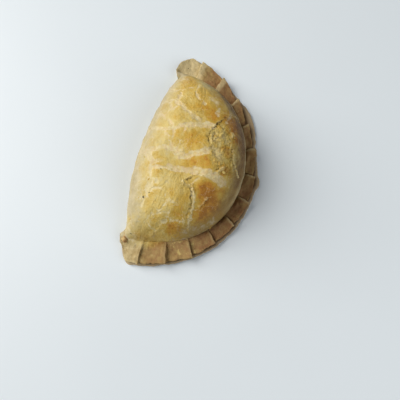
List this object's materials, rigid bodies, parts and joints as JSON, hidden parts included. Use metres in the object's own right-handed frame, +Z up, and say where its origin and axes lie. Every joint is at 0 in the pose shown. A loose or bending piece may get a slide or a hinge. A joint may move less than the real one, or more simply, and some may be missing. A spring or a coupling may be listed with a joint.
{
  "type": "meat pie",
  "caption": "Baked half-moon meat pie: domed golden crust with pale flaky cracks, a rounded fold along one side and a flat rim of stepped crimps along the other.",
  "frame": {"origin": "under the middle of the pie's outline, on the plate", "axes": "+X along the length of the pie, towards the end with the curl of dough; +Y from the fold to the crimped rim; +Z up"},
  "size_m": [0.149, 0.0784, 0.0354],
  "materials": {
    "crust": "baked shortcrust, golden brown with paler cracks, satin from an egg wash"
  },
  "bodies": {
    "root": {"meat_pie": "crust"}
  },
  "joints": []
}
